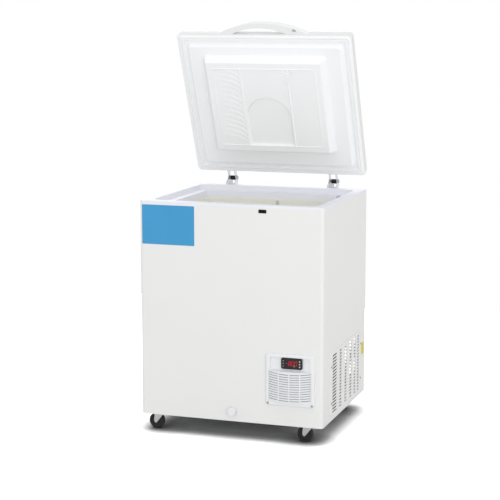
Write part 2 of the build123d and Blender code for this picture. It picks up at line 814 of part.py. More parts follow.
def panel_form(grow):
    y0, y1 = lid_front + panel_front, lid_back - panel_back
    high, low = lid_z - plug_rise + 2 * grow + 0.01, lid_z - plug_rise - panel_rise + grow
    return frustum(2 * (panel_half_wide - panel_draft - grow), y1 - y0 - 2 * panel_draft - 2 * grow, low,
                   2 * (panel_half_wide - grow), y1 - y0 - 2 * grow, high, 10, 16, (y0 + y1) / 2)


def niche_form(grow):
    """Arched pocket in the raised panel, round at the end towards the free edge."""
    y_low = lid_back - panel_back - panel_draft - relief_inset
    half = niche_half_wide + grow
    face_z = lid_z - plug_rise - panel_rise
    arch_y = y_low - niche_tall + niche_half_wide
    outline = Line((-half, y_low + grow), (half, y_low + grow)) + Line((half, y_low + grow), (half, arch_y))
    outline += ThreePointArc((half, arch_y), (0, arch_y - half), (-half, arch_y))
    outline += Line((-half, arch_y), (-half, y_low + grow))
    return extrude(Pos(0, 0, face_z - 5) * make_face(outline), 5 + niche_deep + grow, dir=(0, 0, 1))


def relief():
    """Frame bead and two ribs that stiffen the raised panel."""
    face_z = lid_z - plug_rise - panel_rise
    inset = panel_draft + relief_inset
    y0, y1 = lid_front + panel_front + inset, lid_back - panel_back - inset
    half = panel_half_wide - inset
    middle = (y0 + y1) / 2
    low, high = face_z - relief_high, face_z + lining / 2
    bead = slab(2 * half, y1 - y0, low, high, 5, 0, middle)
    bead -= slab(2 * (half - relief_bead), y1 - y0 - 2 * relief_bead, low - 1, high + 1, 3, 0, middle)
    for side in (-1, 1):
        bead += box(side * rib_x - rib_wide / 2, side * rib_x + rib_wide / 2, y0, y1, low - 0.6, high)
    return bead


def lid_liner():
    middle_y = (lid_back + lid_front) / 2
    inset = lid_sheet + 0.2
    flange = slab(lid_width - 2 * inset, lid_depth - 2 * inset, lid_z, lid_z + lining, lid_corner_r - inset, 0, middle_y)
    outside = plug_form(0) + panel_form(0)
    hidden = (plug_form(lining) + panel_form(lining)) - niche_form(lining)
    liner = flange + outside + relief() - hidden - niche_form(0)
    return opened(liner)


def lid_insulation():
    block = lid_block(lid_sheet + 0.2, lid_z + lining, lid_z + lid_rise - lid_sheet - 0.2, lid_edge_r - lid_sheet)
    filling = plug_form(lining) + panel_form(lining)
    filling -= niche_form(lining)
    filling &= box(-width, width, -depth, depth, 0, lid_z + lining)
    return opened(block + filling)


def lid_gasket():
    """Magnetic door seal, a ring with a soft rounded front."""
    middle_y = (lid_back + lid_front) / 2
    long_x, long_y = lid_width - 2 * gasket_inset, lid_depth - 2 * gasket_inset
    low = rim_z + rest_gap
    outer = slab(long_x, long_y, low, lid_z, 12, 0, middle_y)
    ring = outer - slab(long_x - 2 * gasket_wide, long_y - 2 * gasket_wide, low, lid_z, 6, 0, middle_y)
    ring = chamfer(ring.edges().group_by(Axis.Z)[0], 1.6)
    groove = slab(long_x - gasket_wide + 3, long_y - gasket_wide + 3, low, low + 1.2, 9, 0, middle_y)
    groove -= slab(long_x - gasket_wide - 3, long_y - gasket_wide - 3, low, low + 1.2, 8, 0, middle_y)
    return opened(ring - groove)


def lock_place():
    return (lock_x, lid_front - lock_out, 0)


def lid_handle():
    """Bowed grab handle whose wider right foot houses the lock."""
    half = handle_span / 2
    low = lid_z + handle_low
    bow = make_face(ThreePointArc((-half, 0), (0, -handle_reach), (half, 0)) + Line((half, 0), (-half, 0)))
    gap_middle = (handle_gap_right - handle_gap_left) / 2
    gap = make_face(ThreePointArc((-handle_gap_left, 0), (gap_middle, -handle_gap_reach), (handle_gap_right, 0))
                    + Line((handle_gap_right, 0), (-handle_gap_left, 0)))
    bow = extrude(Pos(0, lid_front, low) * bow, handle_thick)
    rim_edges = [e for e in bow.edges() if e.geom_type == GeomType.CIRCLE]
    bow = fillet(rim_edges, handle_edge_r)
    bow -= extrude(Pos(0, lid_front, low - 1) * gap, handle_thick + 2)
    return opened(bow - drum(lock_r + lock_clear, low - 1, low + handle_thick + 1, lock_place()))


def lock_barrel():
    """Key cylinder with its keyway, and the tongue on its inner end."""
    x, y, _ = lock_place()
    low, high = lid_z + handle_low, lid_z + handle_low + handle_thick
    barrel = drum(lock_r, low - tongue_thick - lock_clear, high + lock_flange + lock_clear, lock_place())
    barrel += drum(lock_r + lock_flange_over, high + lock_clear, high + lock_clear + lock_flange, lock_place())
    barrel -= box(x - 0.8, x + 0.8, y - 3, y + 3, high - 6, high + 2 * lock_flange + 1)
    tongue = slab(tongue_long + 5, tongue_wide, low - tongue_thick - lock_clear, low - lock_clear, 2,
                  x + tongue_long / 2 - 2.5, y)
    return opened(barrel + tongue)


def drain_cap():
    x, z = drain_x, drain_z
    seat = front - 1.5 - cap_clear
    cap = drum(cap_r, seat - cap_long, seat, (x, 0, z), "Y")
    cap = fillet(cap.edges().group_by(Axis.Y)[0], 3)
    cap -= drum(drain_tube_r + cap_clear, seat - cap_long + cap_wall, seat + 1, (x, 0, z), "Y")
    flutes = [
        Pos(x, 0, z) * Rot(0, 30 * k, 0) * drum(2.2, seat - cap_long - 1, seat - 3, (cap_r + 1, 0, 0), "Y")
        for k in range(12)
    ]
    return cap - flutes


# Casters


def caster_plates():
    """Four top plates with their raceways and kingpins."""
    plates = []
    for x, y in caster_places():
        plate = slab(caster_plate, caster_plate, base_z - caster_plate_thick, base_z, 6, x, y)
        for bx, by in caster_bolt_places(x, y):
            plate -= drum(bolt_r + screw_clear, base_z - 2 * caster_plate_thick, base_z + 1, (bx, by, 0))
        low = base_z - caster_plate_thick
        plate += drum(race_r - 3, low - race_tall + race_gap, low, (x, y, 0))
        plate += drum(kingpin_r, low - race_tall - fork_sheet - 1, low, (x, y, 0))
        plate += drum(kingpin_r + 3, low - race_tall - fork_sheet - 3, low - race_tall - fork_sheet - 1, (x, y, 0))
        plates.append(plate)
    return Compound(children=plates)


def fork_top():
    return base_z - caster_plate_thick - race_tall


def caster_fork(x, y):
    """Pressed fork: a crown under the raceway and two tapering legs to the axle."""
    top = fork_top()
    leg_in = wheel_wide / 2 + fork_gap
    leg_out = leg_in + fork_sheet
    crown = drum(race_r, top - fork_sheet, top, (x, y, 0))
    crown += box(x - trail + 6, x, y - leg_out, y + leg_out, top - fork_sheet, top)
    cup = drum(race_r, top - fork_sheet, top + race_tall - 1, (x, y, 0)) - drum(
        race_r - 2, top - fork_sheet - 1, top + race_tall, (x, y, 0))
    fork = crown + cup
    outline = [(race_r, top), (-race_r - 4, top), (-trail - 8, wheel_r), (-trail, wheel_r - 9), (-trail + 8, wheel_r),
               (race_r, top - fork_sheet - 4)]
    for side in (-1, 1):
        start = y + side * leg_in if side > 0 else y - leg_out
        profile = Polyline(*outline, close=True)
        face = Plane(origin=(x, start + fork_sheet, 0), x_dir=(1, 0, 0), z_dir=(0, -1, 0)) * make_face(profile)
        fork += extrude(face, fork_sheet)
    axle = drum(axle_r, y - leg_out - 1.5, y + leg_out + 1.5, (x - trail, 0, wheel_r), "Y")
    for side in (-1, 1):
        end = y + side * (leg_out + 1.5)
        axle += drum(axle_r + 2.5, min(end, end - side * 1.5), max(end, end - side * 1.5), (x - trail, 0, wheel_r), "Y")
    fork += axle
    return fork - drum(kingpin_r + kingpin_clear, top - fork_sheet - 2, top + 2, (x, y, 0))


def caster_wheel(x, y):
    """Solid tread with a crowned rim, dished sides and a hub."""
    half = wheel_wide / 2
    profile = Polyline((axle_r + axle_clear, -half), (9, -half), (11, -half + 4), (20, -half + 4), (23, -half + 1),
                       (wheel_r - 3, -half + 1), (wheel_r, -half + 4), (wheel_r, half - 4), (wheel_r - 3, half - 1),
                       (23, half - 1), (20, half - 4), (11, half - 4), (9, half), (axle_r + axle_clear, half), close=True)
    disc = revolve(make_face(profile), Axis.Y)
    return Pos(x - trail, y, wheel_r) * disc


def caster_bolts():
    bolts = []
    for x, y in caster_places():
        for bx, by in caster_bolt_places(x, y):
            low = base_z - caster_plate_thick
            shank = drum(bolt_r, low, pan_top + bolt_head / 2, (bx, by, 0))
            head = drum(bolt_head_r, low - bolt_head, low, (bx, by, 0))
            bolts.append(shank + head + drum(bolt_head_r, pan_top, pan_top + bolt_head, (bx, by, 0)))
    return Compound(children=bolts)


# Cooling machinery


def compressor_floor():
    return pan_top + grommet_tall


def compressor():
    """Welded two-part can with a foot plate."""
    low = compressor_floor() + foot_thick
    at = Pos(compressor_x, compressor_y, 0)
    weld_z = low + compressor_tall * 0.42
    oval = Ellipse(compressor_wide / 2 - 5, compressor_long / 2 - 5)
    small = Ellipse(compressor_wide / 2 - 24, compressor_long / 2 - 24)
    body = extrude(Pos(0, 0, low + 12) * oval, compressor_tall - 42)
    body += loft([(Pos(0, 0, low) * small).face(), (Pos(0, 0, low + 12) * oval).face()])
    body += loft([(Pos(0, 0, low + compressor_tall - 30) * oval).face(), (Pos(0, 0, low + compressor_tall) * small).face()])
    body += extrude(Pos(0, 0, weld_z) * Ellipse(compressor_wide / 2, compressor_long / 2), 5)
    foot = slab(foot_wide, foot_long, low - foot_thick, low + 1, 14)
    for sx, sy in corners:
        foot -= drum(5, low - 9, low + 9, (sx * (foot_wide / 2 - 12), sy * (foot_long / 2 - 12), 0))
    return at * (body + foot)


def compressor_mounts():
    """Rubber grommets on bolts that hold the foot plate."""
    mounts = []
    for sx, sy in corners:
        x, y = compressor_x + sx * (foot_wide / 2 - 12), compressor_y + sy * (foot_long / 2 - 12)
        top = compressor_floor()
        mount = drum(grommet_r, pan_top, top, (x, y, 0)) + drum(4, top, top + foot_thick + 6, (x, y, 0))
        mounts.append(mount + drum(7, top + foot_thick + 1.2, top + foot_thick + 6, (x, y, 0)))
    return Compound(children=mounts)


def condenser():
    """Finned tube coil: upright fins on rows of tube, with two end plates."""
    x0, x1 = condenser_x - condenser_deep / 2, condenser_x + condenser_deep / 2
    y0 = condenser_y - condenser_long / 2
    low, high = condenser_low, condenser_low + condenser_tall
    pitch = condenser_long / (fin_count - 1)
    block = [box(x0, x1, y0 + k * pitch - fin_thick / 2, y0 + k * pitch + fin_thick / 2, low, high)
             for k in range(fin_count)]
    rows = int(condenser_tall / fin_row_pitch)
    for row in range(rows):
        z = low + fin_row_pitch * (row + 0.5)
        for x in (condenser_x - 9, condenser_x + 9):
            block.append(drum(pipe_r, y0 - 6, y0 + condenser_long + 6, (x, 0, z), "Y"))
    coil = block[0].fuse(*block[1:])
    for y in (y0 - 2, y0 + condenser_long):
        coil += box(x0, x1, y, y + 2, pan_top, high)
    return coil


def fan_centre():
    return (condenser_x - condenser_deep / 2 - shroud_deep, condenser_y, condenser_low + condenser_tall / 2)


def fan_shroud():
    """Square box round the fan, with a bell mouth and three arms to the motor."""
    x, y, z = fan_centre()
    x1 = condenser_x - condenser_deep / 2
    shroud = box(x, x1, y - condenser_long / 2, y + condenser_long / 2, pan_top, condenser_low + condenser_tall)
    shroud -= box(x + shroud_thick, x1 + 1, y - condenser_long / 2 + 2, y + condenser_long / 2 - 2,
                  pan_top + 2, condenser_low + condenser_tall - 2)
    shroud -= drum(fan_r + fan_gap, x - 1, x1, (0, y, z), "X")
    ring = drum(fan_r + fan_gap + 2, x - 6, x + 8, (0, y, z), "X") - drum(fan_r + fan_gap, x - 7, x + 9, (0, y, z), "X")
    shroud += ring
    for k in range(3):
        arm = box(x - 6, x - 4, y - 5, y + 5, z + motor_r - 6, z + fan_r + fan_gap + 1)
        shroud += arm.rotate(Axis((0, y, z), (1, 0, 0)), 120 * k + 60)
    hub = drum(motor_r - 4, x - 6, x - 4, (0, y, z), "X")
    shroud += hub
    return shroud - drum(shaft_r + 3, x - 10, x, (0, y, z), "X")


def fan_motor():
    x, y, z = fan_centre()
    face = x - 6
    motor = drum(motor_r, face - motor_long, face, (0, y, z), "X")
    motor = fillet(motor.edges().group_by(Axis.X)[0], 5)
    return motor - drum(shaft_r + axle_clear, face - motor_long / 2, face + 1, (0, y, z), "X")


def condenser_fan():
    """Hub, shaft and twisted blades."""
    x, y, z = fan_centre()
    hub_x0, hub_x1 = x - 1, x + fan_thick
    fan = drum(22, hub_x0, hub_x1, (0, y, z), "X")
    fan += drum(shaft_r, x - 6 - motor_long / 2 + 2, hub_x0 + 1, (0, y, z), "X")
    for k in range(fan_blades):
        root = Pos(x + fan_thick / 2, y, z + 18) * Rot(0, 0, 40) * Rectangle(2, 26)
        tip = Pos(x + fan_thick / 2, y, z + fan_r + 1) * Rot(0, 0, 24) * Rectangle(2, 46)
        blade = loft([root.face(), tip.face()])
        fan += blade.rotate(Axis((0, y, z), (1, 0, 0)), 360 / fan_blades * k)
    return fan & drum(fan_r, x - 60, x + 60, (0, y, z), "X")


def tube_run(radius, bend, *points):
    path = FilletPolyline(*points, radius=bend)
    return sweep(Plane(origin=path @ 0, z_dir=path % 0) * Circle(radius), path)


def drier_place():
    return (bay_x + 30, condenser_y + 20, 0)


def filter_drier():
    x, y, _ = drier_place()
    low = pan_top + 60
    body = drum(11, low, low + 96, (x, y, 0))
    body = chamfer(body.edges().group_by(Axis.Z)[0] + body.edges().group_by(Axis.Z)[-1], 7, 4)
    strap = box(bay_x, x + 2, y - 6, y + 6, low + 40, low + 52)
    return body + drum(3, low - 12, low + 108, (x, y, 0)) + strap


def refrigerant_pipes():
    """Copper pipes: discharge, suction and liquid lines."""
    can_top = compressor_floor() + foot_thick + compressor_tall
    y1 = condenser_y + condenser_long / 2 + 6
    z_top = condenser_low + fin_row_pitch * 8.5
    z_low = condenser_low + fin_row_pitch * 0.5
    cx = condenser_x - 9
    dx, dy, _ = drier_place()
    out_x, out_y = compressor_x + 30, compressor_y - 40
    in_x, in_y = compressor_x - 28, compressor_y + 30
    discharge = tube_run(pipe_r, 14, (out_x, out_y, can_top), (out_x, out_y, can_top + 60), (cx, out_y, can_top + 60),
                         (cx, out_y, z_top), (cx, y1, z_top))
    suction = tube_run(pipe_r + 1, 14, (in_x, in_y, can_top), (in_x, in_y, can_top + 44), (bay_x, in_y, can_top + 44))
    liquid = tube_run(2.5, 8, (dx, dy, pan_top + 48), (dx, dy, z_low), (dx, y1 + 14, z_low), (cx, y1 + 14, z_low),
                      (cx, y1, z_low))
    return Compound(children=[discharge, suction, liquid])


def cord_gland():
    x, _, z = gland_place()
    gland = drum(15, back, back + 4, (x, 0, z), "Y") + drum(11 - 0.1, back - 6, back, (x, 0, z), "Y")
    gland += drum(9, back + 4, back + 16, (x, 0, z), "Y")
    return gland - drum(4.5, back - 8, back + 20, (x, 0, z), "Y")


corner_names = {(-1, -1): "front_left", (1, -1): "front_right", (-1, 1): "rear_left", (1, 1): "rear_right"}

nodes = {
    "outer_shell": outer_shell(),
    "back_panel": back_panel(),
    "base_pan": base_pan(),
    "bay_partition": bay_partition(),
    "inner_tub": tub(),
    "cabinet_insulation": insulation(),
    "rim_collar": rim_collar(),
    "collar_clip": collar_clip(),
    "evaporator_coil": evaporator_coil(),
    "temperature_probe": temperature_probe(),
    "drain_tube": drain_tube(),
    "latch_catch": latch_catch(),
    "control_bezel": control_bezel(),
    "vent_louvre": vent_louvre(),
    "controller_body": controller_body(),
    "display_window": display_window(),
    "side_grille": side_grille(),
    "cabinet_screws": cabinet_screws(),
    "hinge_base_left": hinge_base(-hinge_x),
    "hinge_base_right": hinge_base(hinge_x),
    "hinge_pins": Compound(children=[hinge_pin(-hinge_x), hinge_pin(hinge_x)]),
    "hinge_springs": Compound(children=[hinge_spring(-hinge_x), hinge_spring(hinge_x)]),
    "hinge_arm_left": hinge_arm(-hinge_x),
    "hinge_arm_right": hinge_arm(hinge_x),
    "lid_outer_shell": lid_outer_shell(),
    "lid_inner_liner": lid_liner(),
    "lid_insulation": lid_insulation(),
    "lid_gasket": lid_gasket(),
    "lid_handle": lid_handle(),
    "lock_barrel": lock_barrel(),
    "drain_cap": drain_cap(),
    "caster_plates": caster_plates(),
    "caster_bolts": caster_bolts(),
    "compressor": compressor(),
    "compressor_mounts": compressor_mounts(),
    "condenser": condenser(),
    "fan_shroud": fan_shroud(),
    "fan_motor": fan_motor(),
    "condenser_fan": condenser_fan(),
    "filter_drier": filter_drier(),
    "refrigerant_pipes": refrigerant_pipes(),
    "cord_gland": cord_gland(),
}
for number, (key_x, key_z) in enumerate(key_places(), 1):
    nodes[f"controller_key_{number}"] = controller_key(key_x, key_z)
for corner, place in zip(corners, caster_places()):
    nodes[f"caster_fork_{corner_names[corner]}"] = caster_fork(*place)
    nodes[f"caster_wheel_{corner_names[corner]}"] = caster_wheel(*place)

os.makedirs("parts", exist_ok=True)
for name, shape in nodes.items():
    export_step(shape, f"parts/{name}.step")
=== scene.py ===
import math

import bmesh
import bpy
import numpy as np
from mathutils import Matrix, Vector


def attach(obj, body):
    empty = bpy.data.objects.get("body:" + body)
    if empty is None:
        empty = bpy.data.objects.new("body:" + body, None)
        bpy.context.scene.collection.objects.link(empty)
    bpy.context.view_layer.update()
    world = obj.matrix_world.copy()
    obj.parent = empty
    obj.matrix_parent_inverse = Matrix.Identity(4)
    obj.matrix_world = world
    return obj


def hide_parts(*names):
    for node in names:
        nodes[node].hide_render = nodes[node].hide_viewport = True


# A white chest freezer with its lid held open. Metres, +Z up, -Y is the front.

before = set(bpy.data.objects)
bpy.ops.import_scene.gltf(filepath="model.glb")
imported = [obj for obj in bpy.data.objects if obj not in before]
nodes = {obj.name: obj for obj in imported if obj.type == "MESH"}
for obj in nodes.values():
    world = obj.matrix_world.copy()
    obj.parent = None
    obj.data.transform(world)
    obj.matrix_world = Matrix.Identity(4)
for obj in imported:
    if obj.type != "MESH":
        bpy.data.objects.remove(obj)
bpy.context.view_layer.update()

# Sizes shared with the solids
FRONT = -0.3075
RIGHT = 0.360
RIM_Z = 0.889
PIVOT = Vector((0, 0.3455, 0.911))
LID_OPEN = math.radians(66.5)
LID_WIDE = 0.708
LID_DEEP = 0.607
LID_BACK = 0.3035
LID_FRONT = LID_BACK - LID_DEEP
LID_Z = 0.895
LINING = 0.002
BEZEL_X = 0.236
PANEL_X = 0.243
PANEL_Z = 0.308
PANEL_FACE = -0.3205

to_open = (Matrix.Translation(PIVOT) @ Matrix.Rotation(-LID_OPEN, 4, "X") @ Matrix.Translation(-PIVOT))


# Materials


def linear(value):
    return value / 12.92 if value <= 0.04045 else ((value + 0.055) / 1.055) ** 2.4


def colour(red, green, blue):
    """A colour given as it looks on a screen, from 0 to 255."""
    return (linear(red / 255), linear(green / 255), linear(blue / 255), 1)


def shaded(tone, factor):
    return (tone[0] * factor, tone[1] * factor, tone[2] * factor, 1)


class Surface:
    """A node-based material with mottled colour and uneven roughness, to which bump and wear are added."""

    def __init__(self, name, tone, rough, metal=0.0, mottle=0.03, mottle_scale=6.0, rough_vary=0.06):
        self.mat = bpy.data.materials.new(name)
        self.mat.use_nodes = True
        self.tree = self.mat.node_tree
        self.shader = self.tree.nodes["Principled BSDF"]
        self.shader.inputs["Metallic"].default_value = metal
        self.place = self.tree.nodes.new("ShaderNodeTexCoord").outputs["Object"]
        self.last_bump = None
        self.mix_tone(tone, mottle, mottle_scale)
        self.mix_rough(rough, rough_vary)

    def noise(self, scale, detail=3.0, stretch=None):
        node = self.tree.nodes.new("ShaderNodeTexNoise")
        node.inputs["Scale"].default_value = scale
        node.inputs["Detail"].default_value = detail
        source = self.place
        if stretch:
            mapping = self.tree.nodes.new("ShaderNodeMapping")
            mapping.inputs["Scale"].default_value = stretch
            self.tree.links.new(source, mapping.inputs["Vector"])
            source = mapping.outputs["Vector"]
        self.tree.links.new(source, node.inputs["Vector"])
        return node.outputs["Fac"]

    def ramp(self, source, low, high, at_low=0.3, at_high=0.7):
        node = self.tree.nodes.new("ShaderNodeValToRGB")
        node.color_ramp.elements[0].position = at_low
        node.color_ramp.elements[1].position = at_high
        node.color_ramp.elements[0].color = low
        node.color_ramp.elements[1].color = high
        self.tree.links.new(source, node.inputs["Fac"])
        return node.outputs["Color"]

    def mix_tone(self, tone, mottle, scale):
        colours = self.ramp(self.noise(scale, 4.0), shaded(tone, 1 - mottle), shaded(tone, 1 + mottle))
        self.tree.links.new(colours, self.shader.inputs["Base Color"])
        self.tone_out = colours

    def mix_rough(self, rough, vary):
        node = self.tree.nodes.new("ShaderNodeMapRange")
        node.inputs["To Min"].default_value = max(0.02, rough - vary)
        node.inputs["To Max"].default_value = min(1.0, rough + vary)
        self.tree.links.new(self.noise(38.0, 5.0), node.inputs["Value"])
        self.tree.links.new(node.outputs["Result"], self.shader.inputs["Roughness"])

    def bump(self, source, depth, strength=1.0):
        node = self.tree.nodes.new("ShaderNodeBump")
        node.inputs["Strength"].default_value = strength
        node.inputs["Distance"].default_value = depth
        self.tree.links.new(source, node.inputs["Height"])
        if self.last_bump:
            self.tree.links.new(self.last_bump, node.inputs["Normal"])
        self.last_bump = node.outputs["Normal"]
        self.tree.links.new(self.last_bump, self.shader.inputs["Normal"])
        return self

    def grain(self, scale, depth, detail=2.0, stretch=None):
        return self.bump(self.noise(scale, detail, stretch), depth)

    def worn(self, tone, amount=0.5, low=0.62, high=0.75):
        """Dust or wear in patches, mixed into the colour."""
        mix = self.tree.nodes.new("ShaderNodeMix")
        mix.data_type = "RGBA"
        mask = self.ramp(self.noise(11.0, 7.0), (0, 0, 0, 1), (amount, amount, amount, 1), low, high)
        self.tree.links.new(mask, mix.inputs["Factor"])
        self.tree.links.new(self.tone_out, mix.inputs["A"])
        mix.inputs["B"].default_value = tone
        self.tree.links.new(mix.outputs["Result"], self.shader.inputs["Base Color"])
        self.tone_out = mix.outputs["Result"]
        return self

    def set(self, **values):
        for name, value in values.items():
            self.shader.inputs[name.replace("_", " ")].default_value = value
        return self


ENAMEL = colour(235, 235, 234)
enamel = Surface("white_enamel", ENAMEL, 0.42, mottle=0.006, mottle_scale=3.0, rough_vary=0.04)
enamel.grain(520, 0.00003).set(Coat_Weight=0.08, Coat_Roughness=0.3)
collar = Surface("collar_plastic", colour(236, 237, 244), 0.55, mottle=0.008).grain(900, 0.00002)
collar.set(Specular_IOR_Level=0.28)
lining = Surface("lining_plastic", colour(249, 250, 251), 0.50, mottle=0.006).grain(700, 0.00002)
lining.set(Specular_IOR_Level=0.35)
tub = Surface("tub_coating", colour(248, 248, 240), 0.38, mottle=0.012).grain(420, 0.00004)
seal = Surface("seal_rubber", colour(248, 249, 250), 0.55, mottle=0.008).grain(1400, 0.00002)
handle_white = Surface("handle_plastic", colour(240, 241, 241), 0.34, mottle=0.006).grain(1000, 0.00001)
bezel_white = Surface("bezel_plastic", colour(236, 237, 239), 0.36, mottle=0.008).grain(1200, 0.000015)
louvre_white = Surface("louvre_plastic", colour(232, 233, 236), 0.42, mottle=0.01).grain(1200, 0.00002)
filter_grey = Surface("filter_weave", colour(208, 210, 214), 0.75, mottle=0.05, mottle_scale=60)
filter_grey.grain(1600, 0.0002)
black = Surface("black_plastic", colour(18, 18, 20), 0.38, mottle=0.08).grain(1800, 0.00002)
pane = Surface("display_pane", colour(12, 6, 8), 0.12, mottle=0.05)
key_pale = Surface("key_rubber_pale", colour(196, 198, 200), 0.55, mottle=0.05).grain(2500, 0.00002)
key_grey = Surface("key_rubber", colour(120, 122, 124), 0.55, mottle=0.05).grain(2500, 0.00002)
sheet_zinc = Surface("zinc_sheet", colour(176, 178, 181), 0.42, 0.9, mottle=0.10, mottle_scale=70)
sheet_zinc.grain(260, 0.00002)
zinc = Surface("zinc_steel", colour(196, 197, 199), 0.34, 0.9, mottle=0.05, mottle_scale=90)
zinc.grain(900, 0.00002)
bright_plate = Surface("bright_plate", colour(222, 224, 228), 0.26, 0.75, mottle=0.03).grain(160, 0.00001)
screw_steel = Surface("screw_steel", colour(176, 178, 180), 0.28, 1.0, mottle=0.05).grain(2600, 0.00001)
dark_metal = Surface("dark_steel", colour(44, 45, 48), 0.36, 0.85, mottle=0.1).grain(1500, 0.00002)
probe_steel = Surface("probe_steel", colour(206, 206, 202), 0.40, 0.3, mottle=0.05).grain(1500, 0.00001)
lock_plate = Surface("lock_plate", colour(190, 192, 196), 0.24, 0.8, mottle=0.04).grain(1500, 0.00001)
tyre = Surface("tread_rubber", colour(26, 26, 28), 0.62, mottle=0.12, mottle_scale=90)
tyre.grain(2200, 0.00005).worn(colour(64, 63, 62), 0.35)
foam = Surface("foam", colour(226, 208, 158), 0.85, mottle=0.08, mottle_scale=80).grain(600, 0.0003)
copper = Surface("copper", colour(184, 112, 78), 0.32, 1.0, mottle=0.12, mottle_scale=40)
copper.grain(800, 0.00002).worn(colour(96, 62, 46), 0.6)
fins = Surface("fin_aluminium", colour(190, 192, 194), 0.36, 0.95, mottle=0.06, mottle_scale=120)
fins.grain(900, 0.00002)
can_black = Surface("can_paint", colour(26, 26, 28), 0.30, mottle=0.1, mottle_scale=20)
can_black.grain(340, 0.00005).worn(colour(60, 60, 60), 0.4)
black_rubber = Surface("black_rubber", colour(28, 28, 28), 0.7, mottle=0.1).grain(1500, 0.00004)
fan_black = Surface("fan_plastic", colour(44, 45, 47), 0.45, mottle=0.06).grain(1500, 0.00002)
grey_plastic = Surface("grey_plastic", colour(176, 179, 188), 0.45, mottle=0.04).grain(1500, 0.00002)
cap_white = Surface("cap_plastic", colour(232, 234, 236), 0.36, mottle=0.01).grain(1400, 0.00002)
blue = Surface("blue_film", colour(58, 152, 206), 0.38, mottle=0.02, mottle_scale=9).grain(1100, 0.00001)
yellow = Surface("yellow_film", colour(214, 201, 8), 0.42, mottle=0.02, mottle_scale=30).grain(1100, 0.00001)


def glowing(name, tone, strength):
    made = Surface(name, tone, 0.3, mottle=0.02)
    made.shader.inputs["Emission Color"].default_value = tone
    made.shader.inputs["Emission Strength"].default_value = strength
    return made


red_glow = glowing("red_digits", colour(196, 10, 38), 0.7)
green_glow = glowing("green_mark", colour(40, 190, 120), 0.5)

finish_of = {
    "outer_shell": enamel, "side_grille": enamel, "lid_outer_shell": enamel, "back_panel": sheet_zinc,
    "base_pan": sheet_zinc, "bay_partition": sheet_zinc, "fan_shroud": sheet_zinc, "inner_tub": tub,
    "cabinet_insulation": foam, "lid_insulation": foam, "rim_collar": collar, "collar_clip": grey_plastic,
    "evaporator_coil": copper, "temperature_probe": probe_steel, "drain_tube": grey_plastic,
    "latch_catch": dark_metal, "control_bezel": bezel_white, "vent_louvre": louvre_white,
    "controller_body": black, "display_window": pane, "cabinet_screws": screw_steel,
    "hinge_base_left": bright_plate, "hinge_base_right": bright_plate, "hinge_pins": screw_steel,
    "hinge_springs": dark_metal, "hinge_arm_left": bright_plate, "hinge_arm_right": bright_plate,
    "lid_inner_liner": lining, "lid_gasket": seal, "lid_handle": handle_white, "lock_barrel": lock_plate,
    "drain_cap": cap_white, "caster_plates": zinc, "caster_bolts": screw_steel, "compressor": can_black,
    "compressor_mounts": black_rubber, "condenser": fins, "fan_motor": can_black, "condenser_fan": fan_black,
    "filter_drier": copper, "refrigerant_pipes": copper, "cord_gland": black,
}
for name in nodes:
    if name.startswith("controller_key"):
        finish_of[name] = key_pale if name[-1] in "456" else key_grey
    if name.startswith("caster_fork"):
        finish_of[name] = zinc
    if name.startswith("caster_wheel"):
        finish_of[name] = tyre

SMOOTH_ANGLE = math.radians(28)
SEAL_ANGLE = math.radians(40)
edge_round = {
    "outer_shell": 0.0006, "side_grille": 0.0005, "control_bezel": 0.0006, "vent_louvre": 0.0004,
    "controller_body": 0.0004, "hinge_base_left": 0.0004, "hinge_base_right": 0.0004,
    "hinge_arm_left": 0.0004, "hinge_arm_right": 0.0004, "lid_handle": 0.0008,
}
for name, node in nodes.items():
    node.data.materials.clear()
    node.data.materials.append(finish_of[name].mat)
    weld = node.modifiers.new("weld", "WELD")
    weld.merge_threshold = 0.00001
    for face in node.data.polygons:
        face.use_smooth = True
    if name in edge_round:
        merge = node.modifiers.new("flat", "DECIMATE")
        merge.decimate_type = "DISSOLVE"
        merge.angle_limit = math.radians(0.5)
        bevel = node.modifiers.new("bevel", "BEVEL")
        bevel.width = edge_round[name]
        bevel.segments = 2
        bevel.limit_method = "ANGLE"
        bevel.angle_limit = math.radians(40)
        bevel.use_clamp_overlap = True
    split = node.modifiers.new("sharp", "EDGE_SPLIT")
    split.split_angle = SMOOTH_ANGLE
    split.use_edge_sharp = False
    if name in edge_round:
        even = node.modifiers.new("even", "WEIGHTED_NORMAL")
        even.mode = "FACE_AREA"
        even.weight = 100


# Making pieces


def piece(name, verts, faces, finish, body, smooth=True, place=None):
    """A mesh piece with its finish, that rides on a body."""
    data = bpy.data.meshes.new(name)
    data.from_pydata([tuple(v) for v in verts], [], faces)
    data.update()
    mesh = bmesh.new()
    mesh.from_mesh(data)
    bmesh.ops.recalc_face_normals(mesh, faces=mesh.faces)
    mesh.to_mesh(data)
    mesh.free()
    for face in data.polygons:
        face.use_smooth = smooth
    if place:
        data.transform(place)
    made = bpy.data.objects.new(name, data)
    bpy.context.scene.collection.objects.link(made)
    data.materials.append(finish.mat)
    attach(made, body)
    return made


def add_split(made, angle=SMOOTH_ANGLE):
    split = made.modifiers.new("sharp", "EDGE_SPLIT")
    split.split_angle = angle
    split.use_edge_sharp = False
    return made


def rounded_rect(half_x, half_y, radius, steps=6, middle=(0.0, 0.0)):
    """Points round a rounded rectangle, anticlockwise."""
    points = []
    quarter = ((1, 1, 0), (-1, 1, 90), (-1, -1, 180), (1, -1, 270))
    for sx, sy, start in quarter:
        for step in range(steps + 1):
            angle = math.radians(start + 90 * step / steps)
            points.append((middle[0] + sx * (half_x - radius) + radius * math.cos(angle),
                           middle[1] + sy * (half_y - radius) + radius * math.sin(angle)))
    return points


